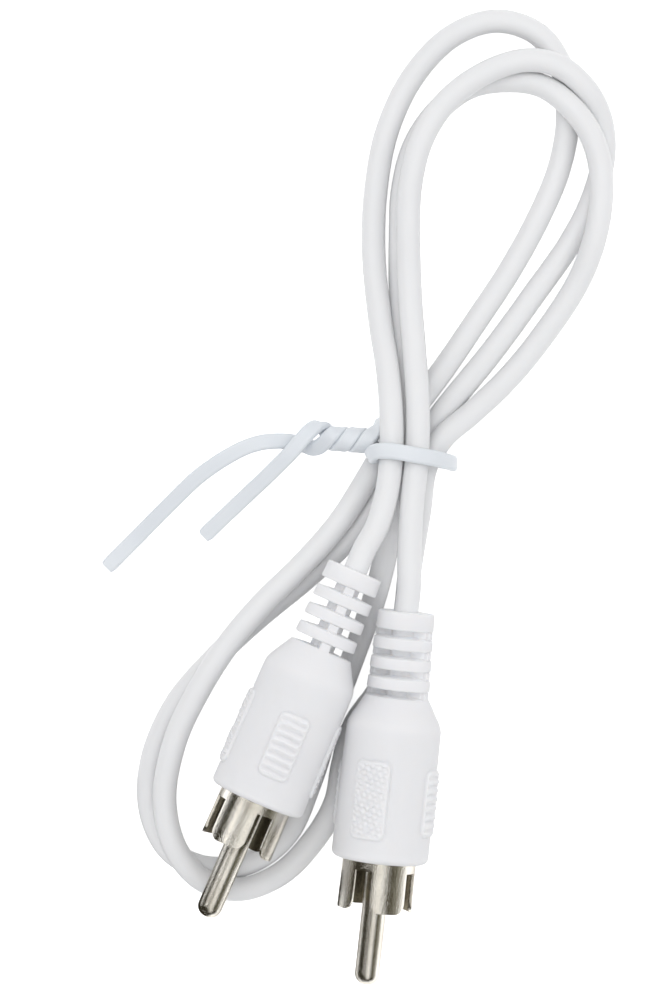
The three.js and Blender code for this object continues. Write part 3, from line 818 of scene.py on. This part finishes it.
def add_petal(bm, base_row, centre, half_angle):
    """One petal from the shell's front ring to its rounded end."""
    base = SHELL_FRONT - PETAL_L
    corner_start = SHELL_FRONT - PETAL_CORNER
    places = [lerp(base, corner_start, k / PETAL_STEPS) for k in range(1, PETAL_STEPS + 1)]
    places += [
        corner_start + PETAL_CORNER * math.sin(math.pi / 2 * k / CORNER_STEPS)
        for k in range(1, CORNER_STEPS + 1)]
    previous = base_row
    for place in places:
        half = petal_half_angle(place, half_angle)
        radius = SHELL_R * (1 + PETAL_FLARE * smooth((place - base) / PETAL_L))
        row = [
            bm.verts.new(on_ring(radius, centre - half + 2 * half * k / PETAL_COLUMNS, place))
            for k in range(PETAL_COLUMNS + 1)]
        for k in range(PETAL_COLUMNS):
            bm.faces.new((previous[k], previous[k + 1], row[k + 1], row[k]))
        previous = row


def build_shell(letter, look, painted_shade_inside):
    bm = bmesh.new()
    slot = math.radians(SLOT_ANGLE)
    petal = math.pi / 2 - slot
    angles = []
    for q in range(4):
        centre = q * math.pi / 2
        angles += [centre - petal / 2 + petal * k / PETAL_COLUMNS for k in range(PETAL_COLUMNS)]
        angles += [centre + petal / 2 + slot * k / SLOT_COLUMNS for k in range(SLOT_COLUMNS)]
    rings = [(SHELL_HOLE_R, SHELL_BACK), (SHELL_R - SHELL_FLAT, SHELL_BACK)]
    for k in range(BEND_STEPS + 1):
        turn = math.pi / 2 * k / BEND_STEPS
        rings.append((
            SHELL_R - SHELL_BEND + SHELL_BEND * math.sin(turn),
            SHELL_BACK + SHELL_BEND - SHELL_BEND * math.cos(turn)))
    base = SHELL_FRONT - PETAL_L
    for place in (*SHELL_RINGS, base - PETAL_RING, base):
        rings.append((SHELL_R, place))
    rows = [[on_ring(radius, angle, place) for angle in angles] for radius, place in rings]
    front = add_grid(bm, rows, True, False)[-1]
    per_quarter = PETAL_COLUMNS + SLOT_COLUMNS
    for q in range(4):
        first = q * per_quarter
        base_row = [front[(first + k) % len(front)] for k in range(PETAL_COLUMNS + 1)]
        add_petal(bm, base_row, q * math.pi / 2, petal / 2)
    wrap_uv(bm)
    matrix = plug_matrix(letter, PLUGS[letter]["petal_roll"])
    obj = finish_mesh(f"shell_{letter}", bm, look, [f"ground_shell_{letter}"], matrix)
    solid = obj.modifiers.new("wall", "SOLIDIFY")
    solid.thickness = SHELL_WALL * MM
    solid.offset = -1
    # The inner faces take the second, darker material: painted shade and dark reflection inside
    # the shell
    solid.material_offset = 1
    obj.data.materials.append(painted_shade_inside)
    rounding = obj.modifiers.new("edges", "BEVEL")
    rounding.width = SHELL_EDGE * MM
    rounding.segments = 3
    rounding.limit_method = "ANGLE"
    rounding.angle_limit = math.radians(50)
    return obj


def build_pin(letter, look):
    tip = BODY_L + PIN_L
    nose = tip - PIN_NOSE
    profile = [
        (AXIS_R, CUP_BOTTOM), (CUP_BORE_R, CUP_BOTTOM), (CUP_BORE_R, CUP_START),
        (CUP_R, CUP_START), (CUP_R, PIN_START), (PIN_R - PIN_CHAMFER[0], PIN_START),
        (PIN_R, PIN_START + PIN_CHAMFER[1])]
    profile += [(PIN_R, place) for place in (*PIN_RINGS, nose - PIN_RING)]
    for k in range(NOSE_STEPS):
        turn = math.pi / 2 * k / NOSE_STEPS
        profile.append((
            PIN_R * math.cos(turn) ** NOSE_FULLNESS, nose + PIN_NOSE * math.sin(turn)))
    profile.append((AXIS_R, tip))
    bm = bmesh.new()
    lathe(bm, profile, False)
    wrap_uv(bm)
    bmesh.ops.remove_doubles(bm, verts=bm.verts, dist=WELD)
    matrix = plug_matrix(letter, PLUGS[letter]["petal_roll"])
    return finish_mesh(
        f"pin_{letter}", bm, look, [f"center_pin_{letter}"], matrix, flat_angle=50)


def build_insulator(letter, look):
    groove_in, groove_out = DISC_GROOVE
    groove_floor = DISC_FRONT - DISC_GROOVE_DEPTH
    profile = [
        (HUB_BORE_R, HUB_START), (HUB_R, HUB_START), (HUB_R, DISC_START), (DISC_R, DISC_START),
        (DISC_R, DISC_FRONT - DISC_CHAMFER), (DISC_R - DISC_CHAMFER, DISC_FRONT),
        (groove_out, DISC_FRONT), (groove_out - DISC_GROOVE_SLOPE, groove_floor),
        (groove_in + DISC_GROOVE_SLOPE, groove_floor), (groove_in, DISC_FRONT),
        (HUB_BORE_R + HUB_CHAMFER, DISC_FRONT), (HUB_BORE_R, DISC_FRONT - HUB_CHAMFER)]
    bm = bmesh.new()
    lathe(bm, profile, True)
    matrix = plug_matrix(letter, PLUGS[letter]["petal_roll"])
    return finish_mesh(
        f"insulator_disc_{letter}", bm, look, [f"insulator_{letter}"], matrix,
        flat_angle=40)


# Tie


def twist_strand(start):
    """One of the two strands of the twist, with the way its broad face looks."""
    right = Vector(TWIST_RIGHT)
    left = Vector(TWIST_LEFT)
    axis = (left - right).normalized()
    side = axis.cross(Vector(UP)).normalized()
    up = side.cross(axis)
    strand = []
    for i in range(TWIST_STEPS + 1):
        part = i / TWIST_STEPS
        angle = math.radians(start - 360 * TWIST_TURNS * part)
        out = up * math.cos(angle) + side * math.sin(angle)
        radius = lerp(TWIST_R_RIGHT, TWIST_R_LEFT, part)
        strand.append((right.lerp(left, part) + out * radius, out))
    return strand


def tie_points():
    def laid(rows):
        return [(Vector(row[:3]), Vector(row[3]).normalized()) for row in rows]

    return (
        laid(TIE_LONG_END) + twist_strand(TWIST_START)[::-1] + laid(TIE_LOOP)
        + twist_strand(TWIST_START - 180) + laid(TIE_SHORT_END))


def tie_section():
    """The strip's flat section with rounded corners, in metres."""
    corner = TIE_CORNER * MM
    x = TIE_W / 2 * MM - corner
    y = TIE_T / 2 * MM - corner
    section = []
    for quarter, (cx, cy) in enumerate(((x, y), (-x, y), (-x, -y), (x, -y))):
        for k in range(TIE_CORNER_STEPS + 1):
            angle = math.pi / 2 * (quarter + k / TIE_CORNER_STEPS)
            section.append((cx + corner * math.cos(angle), cy + corner * math.sin(angle)))
    return section


def build_tie(look):
    rows = tie_points()
    faces = [face for _, face in rows]
    samples = Path([(p + SHIFT) * MM for p, _ in rows]).spaced(TIE_STEP * MM)
    points = [p for p, _ in samples]
    section = tie_section()
    grid = []
    reach = [0.0]
    for i, ((point, place), tangent) in enumerate(zip(samples, tangents(points))):
        k = min(int(place), len(faces) - 2)
        face = faces[k].lerp(faces[k + 1], place - k)
        across = tangent.cross(face).normalized()
        out = across.cross(tangent)
        from_end = min(i, len(samples) - 1 - i)
        trim = TIE_END_TRIM[from_end] if from_end < len(TIE_END_TRIM) else 1
        grid.append([point + across * x * trim + out * y for x, y in section])
        if i:
            reach.append(reach[-1] + (point - points[i - 1]).length)
    bm = bmesh.new()
    count = len(section)
    cap_ends(bm, add_grid(bm, grid, True, False, uv=lambda a, b: (b / count, reach[a])))
    return finish_mesh("tie_strip", bm, look, ["tie_coating"], flat_angle=50)


# Stage


def seen_rays(tree):
    """1 for camera, glossy and transmission rays, otherwise 0."""
    light_path = tree.nodes.new("ShaderNodeLightPath")
    seen = light_path.outputs["Is Camera Ray"]
    for kind in ("Is Glossy Ray", "Is Transmission Ray"):
        both = node(tree, "ShaderNodeMath", operation="MAXIMUM")
        tree.links.new(seen, both.inputs[0])
        tree.links.new(light_path.outputs[kind], both.inputs[1])
        seen = both.outputs["Value"]
    return seen


def show_by_ray(tree, out, plain, seen):
    """Surface that is plain for the light it sends, and looks as seen otherwise."""
    mix = tree.nodes.new("ShaderNodeMixShader")
    tree.links.new(seen_rays(tree), mix.inputs["Fac"])
    tree.links.new(plain.outputs[0], mix.inputs[1])
    tree.links.new(seen.outputs[0], mix.inputs[2])
    tree.links.new(mix.outputs[0], out.inputs["Surface"])


def build_floor():
    bpy.ops.mesh.primitive_plane_add(size=FLOOR_SIZE, location=(0, 0, -FLOOR_DROP))
    floor = bpy.context.object
    floor.name = "floor"
    made = bpy.data.materials.new("floor")
    made.use_nodes = True
    tree = made.node_tree
    tree.nodes.clear()
    out = tree.nodes.new("ShaderNodeOutputMaterial")
    paper = node(tree, "ShaderNodeBsdfDiffuse", Color=(0.9, 0.9, 0.9, 1))
    glow = node(tree, "ShaderNodeEmission", Color=(1, 1, 1, 1), Strength=0.8)
    lit = tree.nodes.new("ShaderNodeAddShader")
    tree.links.new(paper.outputs[0], lit.inputs[0])
    tree.links.new(glow.outputs[0], lit.inputs[1])
    show_by_ray(tree, out, paper, lit)
    floor.data.materials.append(made)


def build_world():
    world = bpy.data.worlds.new("studio")
    bpy.context.scene.world = world
    world.use_nodes = True
    tree = world.node_tree
    tree.nodes.clear()
    out = tree.nodes.new("ShaderNodeOutputWorld")
    light = node(tree, "ShaderNodeBackground", Color=(0.99, 0.992, 1, 1), Strength=0.76)
    white = node(tree, "ShaderNodeBackground", Color=(1, 1, 1, 1), Strength=1)
    show_by_ray(tree, out, light, white)


def softbox(name, location, size, watts):
    """Lamp that looks at the row's origin."""
    data = bpy.data.lights.new(name, "AREA")
    data.shape = "RECTANGLE"
    data.size, data.size_y = size
    data.energy = watts
    lamp = bpy.data.objects.new(name, data)
    lamp.location = location
    lamp.rotation_euler = (-Vector(location)).to_track_quat("-Z", "Y").to_euler()
    bpy.context.collection.objects.link(lamp)


def card(name, corners, tone):
    """Glowing card beside the set, seen only in reflections: it paints a bright or dark reflection
    on the metal and lights nothing.
    """
    mesh = bpy.data.meshes.new(name)
    mesh.from_pydata(corners, [], [(0, 1, 2, 3)])
    sheet = bpy.data.objects.new(name, mesh)
    bpy.context.collection.objects.link(sheet)
    made, _, shader = material(name)
    shader.inputs["Base Color"].default_value = (0, 0, 0, 1)
    shader.inputs["Roughness"].default_value = 1
    shader.inputs["Specular IOR Level"].default_value = 0
    shader.inputs["Emission Color"].default_value = (*tone, 1)
    shader.inputs["Emission Strength"].default_value = 1
    sheet.data.materials.append(made)
    sheet.visible_camera = False
    sheet.visible_diffuse = False
    sheet.visible_shadow = False
    sheet.visible_transmission = False


def set_cards():
    for name, (start, end, near, far, tone) in CARDS.items():
        corners = []
        for angle, along in ((start, near), (end, near), (end, far), (start, far)):
            turn = math.radians(angle)
            corners.append((CARD_REACH * math.sin(turn), along, CARD_REACH * math.cos(turn)))
        card(name, corners, tone)
    for name, (left, right, near, far) in FLOOR_CARDS.items():
        z = FLOOR_CARD_HEIGHT
        card(name, [(left, near, z), (right, near, z), (right, far, z), (left, far, z)], BROWN)
    card("card_front", FRONT_CARD, BROWN)


def give_look(name, look):
    """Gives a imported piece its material; the piece itself stays as it is."""
    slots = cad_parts[name].data.materials
    slots.clear()
    slots.append(look)


def main():
    look_down()
    cable, points, length = build_cable(jacket_material())

    moulding = soft_plastic(
        "soft_moulding", (0.788, 0.787, 0.8), (0.823, 0.822, 0.833), rough=0.56,
        grain_scale=1800, grain=0.35, milky=0.85, specular=0.18, depth=0.0016)
    # Lighter, glossier copy of the moulding for the slot faces: painted light in the shaded slots
    painted_light_moulding = soft_plastic(
        "moulding_painted_light", (0.91, 0.92, 0.945), (0.94, 0.945, 0.965), rough=0.6,
        grain_scale=1800, grain=0.35, milky=0.85, specular=0.3, depth=0.0016)
    strip_look = soft_plastic(
        "tie_plastic", (0.7, 0.735, 0.775), (0.745, 0.775, 0.805), rough=0.42,
        grain_scale=900, grain=0.2, milky=0.15)
    disc_look = soft_plastic(
        "insulator_plastic", (0.62, 0.6, 0.54), (0.7, 0.68, 0.62), rough=0.45,
        grain_scale=900, grain=0.2, milky=0.1)
    inner_look = soft_plastic(
        "inner_plastic", (0.7, 0.73, 0.76), (0.78, 0.8, 0.82), rough=0.45,
        grain_scale=900, grain=0.2, milky=0.1)
    stamped = nickel_material("nickel_shell", (90, 900, 1))
    # Darker copy of the nickel for the shell's inner faces: painted shade and dark reflection
    painted_shade_nickel = nickel_material("nickel_painted_shade_inside", (90, 900, 1), (0.17, 0.15, 0.11), (0.25, 0.225, 0.17))
    turned = nickel_material("nickel_pin", (12, 9000, 1))
    copper = wire_material("copper_wire", (0.62, 0.33, 0.17), (0.78, 0.47, 0.28), rough=0.3)
    solder = wire_material("solder", (0.52, 0.53, 0.54), (0.7, 0.71, 0.72), rough=0.35)
    steel = wire_material("tie_wire", (0.38, 0.39, 0.41), (0.55, 0.56, 0.58), rough=0.35)

    for letter in PLUGS:
        build_body(letter, moulding, painted_light_moulding)
        build_shell(letter, stamped, painted_shade_nickel)
        build_pin(letter, turned)
        build_insulator(letter, disc_look)
        for name, look in (
                ("inner_mould", inner_look), ("core_insulation", inner_look),
                ("center_wire", copper), ("shield_pigtail", copper),
                ("pin_solder", solder), ("shield_solder", solder)):
            give_look(f"{name}_{letter}", look)
    build_tie(strip_look)
    give_look("tie_wire", steel)

    build_floor()
    build_world()
    softbox("key", location=(-0.08, 0.2, 0.88), size=(0.3, 0.8), watts=2.2)
    softbox("side", location=(0.75, 0.3, 0.75), size=(0.4, 0.6), watts=0.9)
    set_cards()
    bpy.context.scene.view_settings.view_transform = "Standard"


main()
